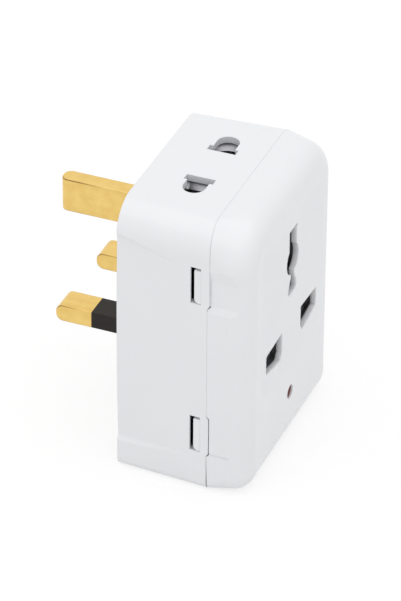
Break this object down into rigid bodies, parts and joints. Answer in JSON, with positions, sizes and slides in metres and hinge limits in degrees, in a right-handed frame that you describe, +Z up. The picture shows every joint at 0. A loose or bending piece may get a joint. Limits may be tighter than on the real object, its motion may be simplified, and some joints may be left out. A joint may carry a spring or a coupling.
{
  "type": "multi socket adapter",
  "caption": "Plug-in multi socket adapter: a white moulded case with flat pins behind, a universal socket in front, a socket for flat or round pins on top and a small indicator.",
  "frame": {"origin": "on the mating face, midway between the line pin and the neutral pin", "axes": "+X right for someone facing the front, +Y back along the pins to the wall, +Z up"},
  "size_m": [0.0498, 0.0535, 0.0666],
  "materials": {
    "white_plastic": "smooth gloss white moulding",
    "dark_plastic": "matt black moulding",
    "pin_brass": "bright drawn brass",
    "sleeve_plastic": "satin black moulding",
    "bar_brass": "plain stamped brass",
    "contact_metal": "bright plated strip",
    "screw_steel": "plain zinc plated",
    "lens_red": "clear dark red moulding",
    "lamp_glass": "clear glass",
    "resistor_body": "dipped coating",
    "lead_insulation": "extruded insulation"
  },
  "bodies": {
    "root": {"rear_case": "white_plastic", "front_cover": "white_plastic", "contact_carrier": "dark_plastic", "line_pin": "pin_brass", "neutral_pin": "pin_brass", "earth_pin": "pin_brass", "line_pin_sleeve": "sleeve_plastic", "neutral_pin_sleeve": "sleeve_plastic", "line_busbar": "bar_brass", "neutral_busbar": "bar_brass", "contact_rivets": "bar_brass", "front_line_contact": "contact_metal", "front_neutral_contact": "contact_metal", "front_earth_contact": "contact_metal", "top_line_contact": "contact_metal", "top_neutral_contact": "contact_metal", "carrier_screws": "screw_steel", "indicator_lens": "lens_red", "neon_lamp": "lamp_glass", "lamp_resistor": "resistor_body", "line_lamp_lead": "lead_insulation", "neutral_lamp_leads": "lead_insulation"}
  },
  "joints": []
}
